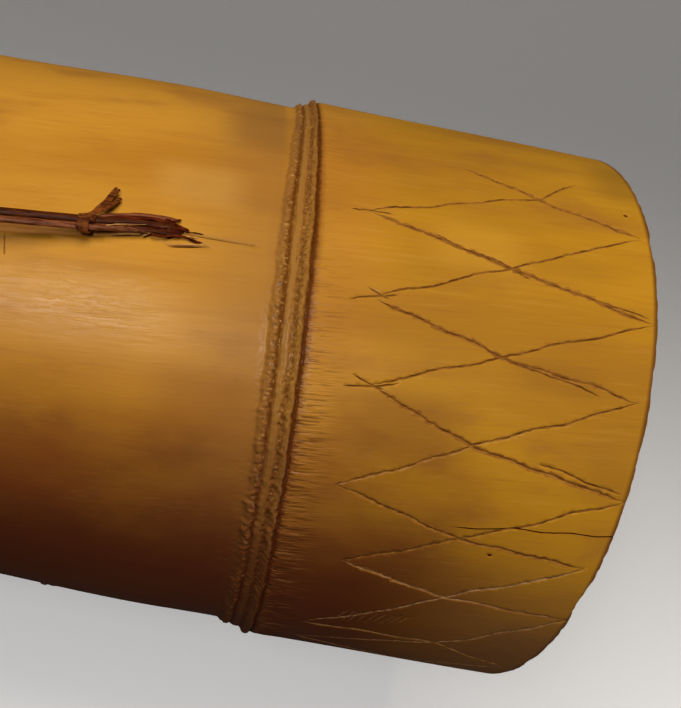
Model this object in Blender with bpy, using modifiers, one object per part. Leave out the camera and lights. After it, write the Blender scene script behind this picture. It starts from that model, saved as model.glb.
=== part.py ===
"""Bamboo tube zither: a length of culm with a scar ring near each end, three strings split from
its own skin, a twine lashing near each string's root, and two sliding bridges under each string.

The tube lies along X with its open right end at +X. Z is up, the first string is on top, and the
origin is under the middle of the tube, on the surface that it lies on. Lengths are in metres.
"""

import math

import bmesh
import bpy
from mathutils import Matrix, Vector

MM = 0.001
GAP = 0.3 * MM  # clearance between neighbouring pieces

# Culm. Ring positions are those of the crease on each ring's upper side, towards +X.
RING_X = 220 * MM
INNER_RADIUS = 34.5 * MM
INTERNODE_RADIUS = 40.5 * MM
INTERNODE_STRAIGHT = 166 * MM  # half of the stretch with parallel sides, where bridges slide
NECK_RADIUS = 42.0 * MM  # just below a scar ring
BEAD_RADIUS = 43.9 * MM
LEFT_RIM_RADIUS = 43.3 * MM
RIGHT_RIM_RADIUS = 43.8 * MM
SIDES = 48
AXIS_HEIGHT = BEAD_RADIUS * math.cos(math.pi / SIDES)
RING_LEAN_Y = -0.061  # how far a ring runs towards +X for each metre along Y and Z
RING_LEAN_Z = -0.016
RING_LEAN_REACH = 14 * MM

# Saw cuts, as (lean about Y, lean about Z) in degrees. A lean about Y leaves the top side longer.
RIGHT_CUT_LEAN = (8.7, 0.7)
LEFT_CUT_LEAN = (-3.0, 1.0)
RIGHT_END_LENGTH = 42.3 * MM  # from the crease to the cut, along the tube's axis
HALF_LENGTH = (
    RING_X + RIGHT_END_LENGTH + RIGHT_RIM_RADIUS * math.tan(math.radians(RIGHT_CUT_LEAN[0]))
)
LEFT_END_LENGTH = (
    HALF_LENGTH - RING_X - LEFT_RIM_RADIUS * math.tan(math.radians(-LEFT_CUT_LEAN[0]))
)

# The slab that stands for each saw cut, far bigger than what it takes off.
SAW_SLAB_DEPTH = 60 * MM
SAW_SLAB_SIDE = 120 * MM

# Sound slit along the underside.
SLIT_LENGTH = 180 * MM
SLIT_WIDTH = 8 * MM
SLIT_END_STEPS = 8  # straight sides in each round end
SLIT_CUTTER_DEPTH = 16 * MM  # more than the wall

# Webs that close the tube at its rings.
WEB_THICKNESS = 3 * MM
WEB_RISE = 4 * MM  # how far a web bulges towards +X at its middle
WEB_X_FROM_RING = -4 * MM

# Strings, at these angles from the top, turning from +Z towards +Y.
STRING_ANGLES = (0, 120, 240)
STRING_WIDTH = 2.2 * MM
STRING_THICKNESS = 1.1 * MM
ROOT_X = 202 * MM
ROOT_RISE_X = 197 * MM  # where the string leaves its bed
LASHING_X = 188 * MM
BRIDGE_X = 160 * MM
LASHING_CLEARANCE = 1.9 * MM  # skin to the string's middle at the lashing
BRIDGE_CLEARANCE = 5.0 * MM  # skin to the string's middle at the bridge
LASHING_SIDESTEP = 4.4 * MM  # the fibres lean, so the string runs askew into its root
ROOT_SIDESTEP = 6.4 * MM

# Beds that the strings were lifted from.
BED_WIDTH = STRING_WIDTH + 2 * GAP
BED_DEPTH = 1.4 * MM
BED_END_X = ROOT_X + GAP
BED_CUTTER_HEIGHT = 4 * MM  # from a bed's floor to clear of the skin

# Lashings.
LASHING_LENGTH = 2.3 * MM
LASHING_EDGE = 0.45 * MM  # rounding of the wrapped turns
TWINE_DIAMETER = 0.6 * MM
TWINE_ENDS = ((3.3, 4.9, 1.2), (4.0, 3.4, 0.5))  # tip of each cut end: along, across, up, in mm
KNOT_RISES = (0.1, -0.4)  # where each end leaves the knot, in twine diameters over the string's middle
TWINE_TIP_TAPER = 0.8

# Bridges.
BRIDGE_LENGTH = 8 * MM
BRIDGE_WIDTH = 12 * MM
BRIDGE_TOP_LENGTH = 2.4 * MM
BRIDGE_TOP_WIDTH = 6.4 * MM
BRIDGE_TOP_ABOVE_STRING = 0.6 * MM  # cheeks beside the notch, over the string's middle
BRIDGE_FOOT_HEIGHT = 1.2 * MM  # the upright sides below the wedge
BRIDGE_EASED_EDGE = 0.4 * MM
NOTCH_CUTTER_HEIGHT = 4 * MM  # from the notch's floor to clear of the bridge


def clear_scene():
    for obj in list(bpy.data.objects):
        bpy.data.objects.remove(obj, do_unlink=True)


def new_collection(name, shown=True):
    collection = bpy.data.collections.new(name)
    bpy.context.scene.collection.children.link(collection)
    collection.hide_render = not shown
    return collection


clear_scene()
PARTS = new_collection("bamboo_tube_zither")
CUTTERS = new_collection("cutters", shown=False)


def make_material(name, colour, roughness):
    material = bpy.data.materials.new(name)
    material.use_nodes = True
    shader = material.node_tree.nodes["Principled BSDF"]
    shader.inputs["Base Color"].default_value = (*colour, 1)
    shader.inputs["Roughness"].default_value = roughness
    shader.inputs["Metallic"].default_value = 0
    return material


SKIN = make_material("bamboo_skin", (0.48, 0.21, 0.035), 0.38)
WEB = make_material("bamboo_web", (0.55, 0.38, 0.17), 0.75)
STRING = make_material("bamboo_string", (0.12, 0.045, 0.015), 0.6)
TWINE = make_material("bast_twine", (0.14, 0.06, 0.025), 0.85)
BRIDGE = make_material("bridge_wood", (0.30, 0.15, 0.05), 0.6)


def add_object(name, mesh, collection=PARTS):
    obj = bpy.data.objects.new(name, mesh)
    collection.objects.link(obj)
    if collection is CUTTERS:
        obj.hide_render = True
        obj.display_type = "WIRE"
    return obj


def as_mesh(obj, name):
    """The object's mesh with its modifiers applied and its own place in it. The object goes."""
    graph = bpy.context.evaluated_depsgraph_get()
    mesh = bpy.data.meshes.new_from_object(obj.evaluated_get(graph))
    mesh.transform(obj.matrix_world)
    mesh.name = name
    bpy.data.objects.remove(obj, do_unlink=True)
    return mesh


def tidy_mesh(mesh):
    """Closes the seams of a mesh and turns its faces outwards."""
    work = bmesh.new()
    work.from_mesh(mesh)
    bmesh.ops.remove_doubles(work, verts=work.verts, dist=1e-6)
    bmesh.ops.recalc_face_normals(work, faces=work.faces)
    work.to_mesh(mesh)
    work.free()


def finish(name, mesh, material, round_piece=True):
    mesh.materials.clear()
    mesh.materials.append(material)
    if round_piece:
        mesh.shade_smooth()
        mesh.set_sharp_from_angle(angle=math.radians(30))
    return add_object(name, mesh)


def boolean(obj, cutter, operation="DIFFERENCE"):
    modifier = obj.modifiers.new(cutter.name, "BOOLEAN")
    modifier.operation = operation
    modifier.solver = "EXACT"
    modifier.object = cutter


def box_mesh(name, size, centre=(0, 0, 0)):
    mesh = bpy.data.meshes.new(name)
    work = bmesh.new()
    bmesh.ops.create_cube(work, size=1)
    bmesh.ops.scale(work, vec=Vector(size), verts=work.verts)
    bmesh.ops.translate(work, vec=Vector(centre), verts=work.verts)
    work.to_mesh(mesh)
    work.free()
    return mesh


def turned_mesh(name, outline, closed=True):
    """A solid of revolution about X, from (x, radius) points that run from -X to +X on the outside."""
    mesh = bpy.data.meshes.new(name)
    points = [(radius, 0, x) for x, radius in reversed(outline)]
    count = len(points)
    edges = [(i, (i + 1) % count) for i in range(count if closed else count - 1)]
    mesh.from_pydata(points, edges, [])
    obj = add_object(name + "_profile", mesh)
    screw = obj.modifiers.new("turn", "SCREW")
    screw.steps = SIDES
    screw.render_steps = SIDES
    screw.use_merge_vertices = True
    screw.merge_threshold = 1e-6
    # A flat side, not an edge, faces down, so that the tube lies still.
    half_side = Matrix.Rotation(math.pi / SIDES, 4, "Z")
    obj.matrix_world = Matrix.Rotation(math.radians(90), 4, "Y") @ half_side
    bpy.context.view_layer.update()
    turned = as_mesh(obj, name)
    tidy_mesh(turned)
    return turned


def skin_radius(x):
    """Outer radius of the internode between the two rings."""
    reach = abs(x)
    if reach <= INTERNODE_STRAIGHT:
        return INTERNODE_RADIUS
    neck = RING_X - 10 * MM
    share = min((reach - INTERNODE_STRAIGHT) / (neck - INTERNODE_STRAIGHT), 1)
    return INTERNODE_RADIUS + share * (NECK_RADIUS - INTERNODE_RADIUS)


def wrap_around_tube(mesh, angle, sidestep=None, flip=False):
    """Bends a piece modelled flat over the tube's top, with Z as its radius, around the axis.

    Its Y becomes an arc length at the skin. sidestep(x) moves it sideways first, and flip turns it
    end for end, about the radius.
    """
    for vertex in mesh.vertices:
        x, across, radius = vertex.co
        if sidestep:
            across += sidestep(x)
        turn = math.radians(angle) + (-across if flip else across) / INTERNODE_RADIUS
        vertex.co = (-x if flip else x, radius * math.sin(turn), radius * math.cos(turn))
    mesh.transform(Matrix.Translation((0, 0, AXIS_HEIGHT)))
    mesh.update()


def string_sidestep(x):
    """Nothing between the bridges, then a straight lean out to the roots, one way at each end."""
    reach = abs(x)
    if reach <= BRIDGE_X:
        return 0
    if reach <= LASHING_X:
        amount = LASHING_SIDESTEP * (reach - BRIDGE_X) / (LASHING_X - BRIDGE_X)
    else:
        share = (reach - LASHING_X) / (ROOT_X - LASHING_X)
        amount = LASHING_SIDESTEP + share * (ROOT_SIDESTEP - LASHING_SIDESTEP)
    return math.copysign(amount, x)


def string_height(x):
    """Radius of the string's middle."""
    reach = abs(x)
    stations = (
        (BRIDGE_X, INTERNODE_RADIUS + BRIDGE_CLEARANCE),
        (LASHING_X, skin_radius(LASHING_X) + LASHING_CLEARANCE),
        (ROOT_RISE_X, skin_radius(ROOT_RISE_X) - STRING_THICKNESS / 2),
        (ROOT_X, skin_radius(ROOT_X) - STRING_THICKNESS / 2),
    )
    if reach <= stations[0][0]:
        return stations[0][1]
    for (x0, h0), (x1, h1) in zip(stations, stations[1:]):
        if reach <= x1:
            return h0 + (h1 - h0) * (reach - x0) / (x1 - x0)
    return stations[-1][1]


# ---------------------------------------------------------------- culm


def ring_outline(ring_x):
    """From the ragged leaf-sheath scar, over the root band, to the smooth bead and its crease."""
    steps = (
        (-6.2, 41.9),
        (-5.3, 42.7),
        (-4.2, 42.6),
        (-3.8, 42.3),
        (-2.8, 43.0),
        (-1.8, 43.1),
        (-1.0, 43.9),
        (-0.3, 43.3),
        (0.8, 43.6),
    )
    return [(ring_x + x * MM, radius * MM) for x, radius in steps]


def culm_outline():
    left_rim = -RING_X - LEFT_END_LENGTH
    right_rim = RING_X + RIGHT_END_LENGTH
    spare = 12 * MM  # sawn off again by the slanting cuts
    outside = [(left_rim - spare, LEFT_RIM_RADIUS), (-RING_X - 14 * MM, NECK_RADIUS)]
    outside += ring_outline(-RING_X)
    outside += [
        (-RING_X + 10 * MM, NECK_RADIUS + 0.2 * MM),
        (-INTERNODE_STRAIGHT, INTERNODE_RADIUS),
        (INTERNODE_STRAIGHT, INTERNODE_RADIUS),
        (RING_X - 10 * MM, NECK_RADIUS),
    ]
    outside += ring_outline(RING_X)
    outside += [(right_rim + spare, RIGHT_RIM_RADIUS)]
    inside = [(right_rim + spare, INNER_RADIUS), (left_rim - spare, INNER_RADIUS)]
    return outside + inside


def lean_rings(mesh):
    """Each ring leans a little from square, and the lean fades out over the skin beside it."""
    for vertex in mesh.vertices:
        for ring_x in (-RING_X, RING_X):
            away = abs(vertex.co.x - ring_x + 3 * MM)
            weight = max(0, 1 - away / RING_LEAN_REACH)
            if weight:
                lean = RING_LEAN_Y * vertex.co.y + RING_LEAN_Z * vertex.co.z
                vertex.co.x += lean * min(1, 2 * weight)
                break


def saw_cutter(name, axis_x, lean, outward):
    """A slab with its face on a slanting cut that crosses the tube's axis at axis_x."""
    size = (SAW_SLAB_DEPTH, SAW_SLAB_SIDE, SAW_SLAB_SIDE)
    mesh = box_mesh(name, size, (outward * SAW_SLAB_DEPTH / 2, 0, 0))
    about_y = Matrix.Rotation(math.radians(lean[0]), 4, "Y")
    about_z = Matrix.Rotation(math.radians(lean[1]), 4, "Z")
    mesh.transform(Matrix.Translation((axis_x, 0, AXIS_HEIGHT)) @ about_z @ about_y)
    return add_object(name, mesh, CUTTERS)


def slit_cutter():
    curve = bpy.data.curves.new("sound_slit", "CURVE")
    curve.dimensions = "2D"
    curve.fill_mode = "BOTH"
    curve.extrude = SLIT_CUTTER_DEPTH / 2
    spline = curve.splines.new("POLY")
    half = SLIT_LENGTH / 2 - SLIT_WIDTH / 2
    ends = ((half, -90), (-half, 90))
    points = []
    for centre, start in ends:
        for step in range(SLIT_END_STEPS + 1):
            angle = math.radians(start + 180 / SLIT_END_STEPS * step)
            points.append((centre + SLIT_WIDTH / 2 * math.cos(angle), SLIT_WIDTH / 2 * math.sin(angle)))
    spline.points.add(len(points) - 1)
    for point, (x, y) in zip(spline.points, points):
        point.co = (x, y, 0, 1)
    spline.use_cyclic_u = True
    obj = add_object("sound_slit_curve", curve, CUTTERS)
    obj.location = (0, 0, AXIS_HEIGHT - (INNER_RADIUS + INTERNODE_RADIUS) / 2)
    bpy.context.view_layer.update()
    mesh = as_mesh(obj, "sound_slit")
    tidy_mesh(mesh)
    return add_object("sound_slit", mesh, CUTTERS)


def bed_cutter(index, angle):
    """The channel left in the skin under one string, a little past its roots."""
    name = f"string_bed_{index}"
    stops = (LASHING_X, BRIDGE_X, INTERNODE_STRAIGHT)
    stations = sorted({-BED_END_X, *(-x for x in stops), *stops, BED_END_X})
    mesh = bpy.data.meshes.new(name)
    work = bmesh.new()
    rows = []
    for x in stations:
        floor = skin_radius(x) - BED_DEPTH
        corners = (
            (-BED_WIDTH / 2, floor),
            (BED_WIDTH / 2, floor),
            (BED_WIDTH / 2, floor + BED_CUTTER_HEIGHT),
            (-BED_WIDTH / 2, floor + BED_CUTTER_HEIGHT),
        )
        rows.append([work.verts.new((x, across, up)) for across, up in corners])
    for row, following in zip(rows, rows[1:]):
        for i in range(4):
            work.faces.new((row[i], row[(i + 1) % 4], following[(i + 1) % 4], following[i]))
    work.faces.new(rows[0])
    work.faces.new(list(reversed(rows[-1])))
    bmesh.ops.recalc_face_normals(work, faces=work.faces)
    work.to_mesh(mesh)
    work.free()
    wrap_around_tube(mesh, angle, string_sidestep)
    return add_object(name, mesh, CUTTERS)


def build_culm():
    mesh = turned_mesh("culm_tube", culm_outline())
    lean_rings(mesh)
    mesh.transform(Matrix.Translation((0, 0, AXIS_HEIGHT)))
    culm = finish("culm_tube", mesh, SKIN)
    boolean(culm, saw_cutter("right_saw_cut", RING_X + RIGHT_END_LENGTH, RIGHT_CUT_LEAN, 1))
    boolean(culm, saw_cutter("left_saw_cut", -RING_X - LEFT_END_LENGTH, LEFT_CUT_LEAN, -1))
    boolean(culm, slit_cutter())
    for index, angle in enumerate(STRING_ANGLES, 1):
        boolean(culm, bed_cutter(index, angle))


def build_web(name, ring_x):
    """A slightly domed disc across the tube."""
    start = ring_x + WEB_X_FROM_RING
    edge = INNER_RADIUS * math.cos(math.pi / SIDES) - GAP
    bends = 6
    front = []
    for step in range(bends + 1):
        radius = edge * (1 - step / bends)
        rise = WEB_RISE * (1 - (radius / edge) ** 2)
        front.append((start + WEB_THICKNESS + rise, radius))
    back = [(x - WEB_THICKNESS, radius) for x, radius in reversed(front)]
    mesh = turned_mesh(name, back + front, closed=False)
    mesh.transform(Matrix.Translation((0, 0, AXIS_HEIGHT)))
    finish(name, mesh, WEB)


# ---------------------------------------------------------------- strings


def build_string(index, angle):
    """A strip of skin, flat in section, rising from a root at each end to the two bridges."""
    stations = (ROOT_X, ROOT_RISE_X, LASHING_X, BRIDGE_X, 0)
    stations = list(stations) + [-x for x in reversed(stations[:-1])]
    half = STRING_THICKNESS / 2
    curve = bpy.data.curves.new(f"string_{index}", "CURVE")
    curve.dimensions = "2D"
    curve.fill_mode = "BOTH"
    curve.extrude = STRING_WIDTH / 2
    spline = curve.splines.new("POLY")
    outline = [(x, string_height(x) + half) for x in stations]
    outline += [(x, string_height(x) - half) for x in reversed(stations)]
    spline.points.add(len(outline) - 1)
    for point, (x, height) in zip(spline.points, outline):
        point.co = (x, height, 0, 1)
    spline.use_cyclic_u = True
    obj = add_object(f"string_{index}_outline", curve)
    obj.matrix_world = Matrix.Rotation(math.radians(90), 4, "X")
    bpy.context.view_layer.update()
    mesh = as_mesh(obj, f"string_{index}")
    wrap_around_tube(mesh, angle, string_sidestep)
    tidy_mesh(mesh)
    finish(f"string_{index}", mesh, STRING, round_piece=False)


def build_lashing(name, angle, flip):
    """Turns of twine round the string, as one sleeve, with the knot's two cut ends."""
    middle = string_height(LASHING_X)
    hole = (STRING_WIDTH + 2 * GAP, STRING_THICKNESS + 2 * GAP)
    outer = (hole[0] + 2 * TWINE_DIAMETER, hole[1] + 2 * TWINE_DIAMETER)
    sleeve = add_object(name, box_mesh(name, (LASHING_LENGTH, *outer), (LASHING_X, 0, middle)))
    bevel = sleeve.modifiers.new("round", "BEVEL")
    bevel.width = LASHING_EDGE
    bevel.segments = 2
    for order, (reach, rise) in enumerate(zip(TWINE_ENDS, KNOT_RISES), 1):
        knot = Vector((LASHING_X, outer[0] / 2, middle + rise * TWINE_DIAMETER))
        tip = knot + Vector(reach) * MM
        start = knot - (tip - knot).normalized() * TWINE_DIAMETER / 2
        twine = twine_between(f"{name}_end_{order}", start, tip, TWINE_DIAMETER / 2)
        boolean(sleeve, twine, "UNION")
    bore = box_mesh(name + "_bore", (3 * LASHING_LENGTH, *hole), (LASHING_X, 0, middle))
    slope = (string_height(LASHING_X) - string_height(BRIDGE_X)) / (LASHING_X - BRIDGE_X)
    tilt = Matrix.Rotation(-math.atan(slope), 4, "Y")
    pivot = Matrix.Translation((LASHING_X, 0, middle))
    bore.transform(pivot @ tilt @ pivot.inverted())
    boolean(sleeve, add_object(name + "_bore", bore, CUTTERS))
    bpy.context.view_layer.update()
    mesh = as_mesh(sleeve, name)
    wrap_around_tube(mesh, angle, string_sidestep, flip)
    tidy_mesh(mesh)
    finish(name, mesh, TWINE)


def twine_between(name, start, end, radius):
    mesh = bpy.data.meshes.new(name)
    work = bmesh.new()
    direction = end - start
    bmesh.ops.create_cone(
        work,
        cap_ends=True,
        segments=7,
        radius1=radius,
        radius2=radius * TWINE_TIP_TAPER,
        depth=direction.length,
    )
    work.to_mesh(mesh)
    work.free()
    turn = Vector((0, 0, 1)).rotation_difference(direction).to_matrix().to_4x4()
    mesh.transform(Matrix.Translation((start + end) / 2) @ turn)
    return add_object(name, mesh, CUTTERS)


# ---------------------------------------------------------------- bridges


def build_bridge(name, angle, flip):
    """A carved wedge with a hollow foot that fits the tube, and a notch for its string."""
    foot = INTERNODE_RADIUS + GAP
    middle = INTERNODE_RADIUS + BRIDGE_CLEARANCE
    top = middle + BRIDGE_TOP_ABOVE_STRING
    mesh = box_mesh(name, (BRIDGE_LENGTH, BRIDGE_WIDTH, top - foot), (BRIDGE_X, 0, (top + foot) / 2))
    work = bmesh.new()
    work.from_mesh(mesh)
    bmesh.ops.bisect_plane(
        work,
        geom=work.verts[:] + work.edges[:] + work.faces[:],
        plane_co=(0, 0, foot + BRIDGE_FOOT_HEIGHT),
        plane_no=(0, 0, 1),
    )
    for vertex in work.verts:
        if vertex.co.z > top - 1e-6:
            vertex.co.x = BRIDGE_X + (vertex.co.x - BRIDGE_X) * BRIDGE_TOP_LENGTH / BRIDGE_LENGTH
            vertex.co.y *= BRIDGE_TOP_WIDTH / BRIDGE_WIDTH
    work.to_mesh(mesh)
    work.free()
    block = add_object(name, mesh)
    bevel = block.modifiers.new("eased_edges", "BEVEL")
    bevel.width = BRIDGE_EASED_EDGE
    bevel.segments = 2
    notch_floor = middle - STRING_THICKNESS / 2 - GAP
    notch_size = (2 * BRIDGE_LENGTH, STRING_WIDTH + 2 * GAP, NOTCH_CUTTER_HEIGHT)
    notch_middle = (BRIDGE_X, 0, notch_floor + NOTCH_CUTTER_HEIGHT / 2)
    notch = box_mesh(name + "_notch", notch_size, notch_middle)
    boolean(block, add_object(name + "_notch", notch, CUTTERS))
    # Cuts across the foot give it points to bend round the tube.
    bpy.context.view_layer.update()
    mesh = as_mesh(block, name)
    work = bmesh.new()
    work.from_mesh(mesh)
    for share in (-0.75, -0.5, -0.25, 0, 0.25, 0.5, 0.75):
        bmesh.ops.bisect_plane(
            work,
            geom=work.verts[:] + work.edges[:] + work.faces[:],
            plane_co=(0, share * BRIDGE_WIDTH / 2, 0),
            plane_no=(0, 1, 0),
        )
    work.to_mesh(mesh)
    work.free()
    wrap_around_tube(mesh, angle, flip=flip)
    tidy_mesh(mesh)
    finish(name, mesh, BRIDGE)


build_culm()
build_web("node_web_right", RING_X)
build_web("node_web_left", -RING_X)
for number, around in enumerate(STRING_ANGLES, 1):
    build_string(number, around)
    for side, turned_round in (("right", False), ("left", True)):
        build_lashing(f"lashing_{number}_{side}", around, turned_round)
        build_bridge(f"bridge_{number}_{side}", around, turned_round)
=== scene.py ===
"""The looks of a bamboo tube zither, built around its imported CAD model."""

import math
import random

import bmesh
import bpy
from mathutils import Matrix, Vector, noise


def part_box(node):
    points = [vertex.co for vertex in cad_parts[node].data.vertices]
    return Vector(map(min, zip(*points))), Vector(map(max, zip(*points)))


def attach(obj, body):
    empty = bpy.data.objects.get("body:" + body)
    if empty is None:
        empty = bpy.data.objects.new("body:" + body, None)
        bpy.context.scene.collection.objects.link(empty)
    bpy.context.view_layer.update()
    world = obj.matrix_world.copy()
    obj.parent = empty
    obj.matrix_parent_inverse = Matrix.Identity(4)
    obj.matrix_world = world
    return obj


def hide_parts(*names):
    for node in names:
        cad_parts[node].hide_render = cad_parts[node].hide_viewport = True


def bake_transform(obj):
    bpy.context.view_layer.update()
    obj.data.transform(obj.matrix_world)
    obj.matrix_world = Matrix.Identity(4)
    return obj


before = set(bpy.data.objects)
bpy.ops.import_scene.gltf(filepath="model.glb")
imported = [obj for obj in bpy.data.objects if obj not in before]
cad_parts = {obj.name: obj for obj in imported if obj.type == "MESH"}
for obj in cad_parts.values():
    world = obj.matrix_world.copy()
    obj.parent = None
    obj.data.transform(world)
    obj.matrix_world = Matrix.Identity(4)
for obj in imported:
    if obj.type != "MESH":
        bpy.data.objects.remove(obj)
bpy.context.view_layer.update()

MM = 0.001

# ------------------------------------------------------------------ the tube's measures

culm_low, culm_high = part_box("culm_tube")
AXIS_HEIGHT = (culm_low.z + culm_high.z) / 2
RING_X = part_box("node_web_right")[0].x + 4 * MM  # the crease on each ring's upper side
INNER_RADIUS = 34.5 * MM
FLAT_RADIUS = 42 * MM  # arcs round the skin are lengths at this radius
RIGHT_SAW_LEAN = math.tan(math.radians(8.7))
LEFT_SAW_LEAN = math.tan(math.radians(3.0))
RIM_LEAN = {1: (RIGHT_SAW_LEAN, -0.012), -1: (-LEFT_SAW_LEAN, -0.017)}  # run along X for Z and Y
RIM_X = {1: RING_X + 42.3 * MM, -1: culm_low.x + 43.3 * MM * LEFT_SAW_LEAN}
RING_LEAN_Y = -0.061  # how far a ring runs towards +X for each metre along Y and Z
RING_LEAN_Z = -0.016
RING_START = -6.6 * MM  # the ring's pieces reach from here to RING_END, from its crease
RING_END = 5.4 * MM
RING_OPEN = 0.92  # a ring's bands are this much of their full width on most of the tube
RING_SQUEEZED = 0.55  # and this much where its side faces +Y
SQUEEZE_REACH = (0.2, 1.05)  # the change lies between these shares of the radius, along Y
FIBRE_LEAN = math.radians(5.5)  # the fibres climb towards +Y as they run to +X

# Radii of the skin in mm, at distances in mm.
INTERNODE_SHAPE = ((165, 40.4), (205, 41.95))  # from the tube's middle
LEFT_END_SHAPE = ((6, 41.95), (46, 43.3))  # past the left ring
RIGHT_END_SHAPE = ((4, 43.6), (36, 43.8))  # past the right ring
UNDER_RING = 3  # the internode and an end meet this far in mm before the crease, under the ring
LEFT_RING_SWELL = (1.6, 5.0)  # extra radius just inside the left ring, and how far it reaches

STRING_TURNS = (0, 120, 240)  # degrees from the top line, turning towards +Y


def ring_plane(ring_x, y, z):
    """Where a ring, which leans from square, crosses the line through (y, z from the axis)."""
    return ring_x + RING_LEAN_Y * y + RING_LEAN_Z * z


def rim_plane(side, y, z):
    """Where a saw cut, at the right for side 1 and at the left for -1, crosses that line."""
    lean_z, lean_y = RIM_LEAN[side]
    return RIM_X[side] + lean_z * z + lean_y * y


def smooth(low, high, value):
    """0 up to low, 1 from high on, and eased between."""
    share = min(max((value - low) / (high - low), 0), 1)
    return share * share * (3 - 2 * share)


def within(band, value):
    """1 inside a band, eased to 0 across each of its two edges, given as (outer, inner)."""
    (low, inner_low), (high, inner_high) = band
    return smooth(low, inner_low, value) * smooth(high, inner_high, value)


def between(stations, value):
    """The height at value on a line that is eased through (place, height) stations."""
    if value <= stations[0][0]:
        return stations[0][1]
    for (x0, h0), (x1, h1) in zip(stations, stations[1:]):
        if value <= x1:
            return h0 + (h1 - h0) * smooth(x0, x1, value)
    return stations[-1][1]


def skin_radius(x, turn):
    """Radius of the skin outside the rings. x is in metres."""
    square = x - smooth(120 * MM, 200 * MM, abs(x)) * FLAT_RADIUS * (
        RING_LEAN_Y * math.sin(turn) + RING_LEAN_Z * math.cos(turn)
    )
    from_right = (square - RING_X) / MM
    from_left = (square + RING_X) / MM
    if from_right > -UNDER_RING:
        radius = between(RIGHT_END_SHAPE, from_right)
    elif from_left < -UNDER_RING:
        radius = between(LEFT_END_SHAPE, -from_left)
    else:
        swell, reach = LEFT_RING_SWELL
        radius = between(INTERNODE_SHAPE, abs(square) / MM)
        radius += swell * math.exp(-((max(from_left, 0) / reach) ** 1.5))
    uneven = noise.noise(Vector((x / (70 * MM), math.sin(turn) * 0.9, math.cos(turn) * 0.9)))
    return (radius + 0.25 * uneven) * MM


def on_skin(x, arc, lift=0.0):
    """A place over the skin: x along the tube, arc from the top line towards +Y, lift outwards."""
    turn = arc / FLAT_RADIUS
    radius = skin_radius(x, turn) + lift
    return Vector((x, radius * math.sin(turn), AXIS_HEIGHT + radius * math.cos(turn)))


# ------------------------------------------------------------------ shader nodes


def linear(hex_colour):
    """A linear RGBA colour from an sRGB hex value such as "c8923b"."""
    channels = [int(hex_colour[i : i + 2], 16) / 255 for i in (0, 2, 4)]
    straight = [c / 12.92 if c <= 0.04045 else ((c + 0.055) / 1.055) ** 2.4 for c in channels]
    return (*straight, 1)


def add_node(tree, kind, links=None, stops=(), **settings):
    """Adds a node. links maps its inputs, by name or number, to a value or to another node's
    output. stops are a colour ramp's (place, colour, cover)."""
    made = tree.nodes.new(kind)
    for name, value in settings.items():
        setattr(made, name, value)
    for number, (where, colour, cover_there) in enumerate(stops):
        marks = made.color_ramp.elements
        mark = marks[number] if number < 2 else marks.new(where)
        mark.position = where
        mark.color = (*linear(colour)[:3], cover_there)
    feed(tree, made, links or {})
    return made


def feed(tree, node, links):
    """Gives a node's inputs their values, or links them to other nodes' outputs."""
    for key, value in links.items():
        if isinstance(value, bpy.types.NodeSocket):
            tree.links.new(value, node.inputs[key])
        else:
            node.inputs[key].default_value = value


def new_material(name):
    material = bpy.data.materials.new(name)
    material.use_nodes = True
    tree = material.node_tree
    return material, tree, tree.nodes["Principled BSDF"]


def fibre_space(tree):
    """Coordinates in mm, turned so that the leaning fibres run straight along X."""
    place = add_node(tree, "ShaderNodeTexCoord").outputs["Object"]
    centred = add_node(
        tree, "ShaderNodeVectorMath", {0: place, 1: (0, 0, -AXIS_HEIGHT)}, operation="ADD"
    ).outputs[0]
    along = add_node(tree, "ShaderNodeSeparateXYZ", {0: centred}).outputs["X"]
    turn = add_node(
        tree, "ShaderNodeMath",
        {0: along, 1: math.tan(FIBRE_LEAN) / FLAT_RADIUS}, operation="MULTIPLY",
    ).outputs[0]
    straight = add_node(
        tree, "ShaderNodeVectorRotate", {"Vector": centred, "Angle": turn}, rotation_type="X_AXIS"
    ).outputs[0]
    return add_node(
        tree, "ShaderNodeVectorMath", {0: straight, "Scale": 1 / MM}, operation="SCALE"
    ).outputs[0]


def grain(tree, space, length, width, detail=3.0, roughness=0.5, shift=0.0):
    """A pattern from 0 to 1 whose patches are about length by width mm."""
    scaled = add_node(
        tree, "ShaderNodeVectorMath",
        {0: space, 1: (1 / length, 1 / width, 1 / width), 2: (shift, shift, shift)},
        operation="MULTIPLY_ADD",
    ).outputs[0]
    return add_node(
        tree, "ShaderNodeTexNoise",
        {"Vector": scaled, "Scale": 1.0, "Detail": detail, "Roughness": roughness},
    ).outputs["Fac"]


def cover(tree, *steps):
    """How far a mark covers what is under it: all its steps multiplied.

    A step is an output or a number, or (output, low, high), which eases from 0 where the output is
    low to 1 where it is high, or (output, low, high, share at low, share at high).
    """
    whole = None
    for step in steps:
        if isinstance(step, tuple):
            value, low, high, *shares = step
            at_low, at_high = shares or (0.0, 1.0)
            ends = {"From Min": low, "From Max": high, "To Min": at_low, "To Max": at_high}
            step = add_node(
                tree, "ShaderNodeMapRange", {"Value": value, **ends},
                interpolation_type="SMOOTHSTEP",
            ).outputs[0]
        if whole is None:
            whole = step
        else:
            whole = add_node(
                tree, "ShaderNodeMath", {0: whole, 1: step}, operation="MULTIPLY"
            ).outputs[0]
    return whole


def laid_over(tree, under, over, *steps):
    """One colour, as hex or an output, laid over another as far as the steps let it cover."""
    under, over = (linear(tint) if isinstance(tint, str) else tint for tint in (under, over))
    return add_node(
        tree, "ShaderNodeMix", {0: cover(tree, *steps), 6: under, 7: over}, data_type="RGBA"
    ).outputs[2]


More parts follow.
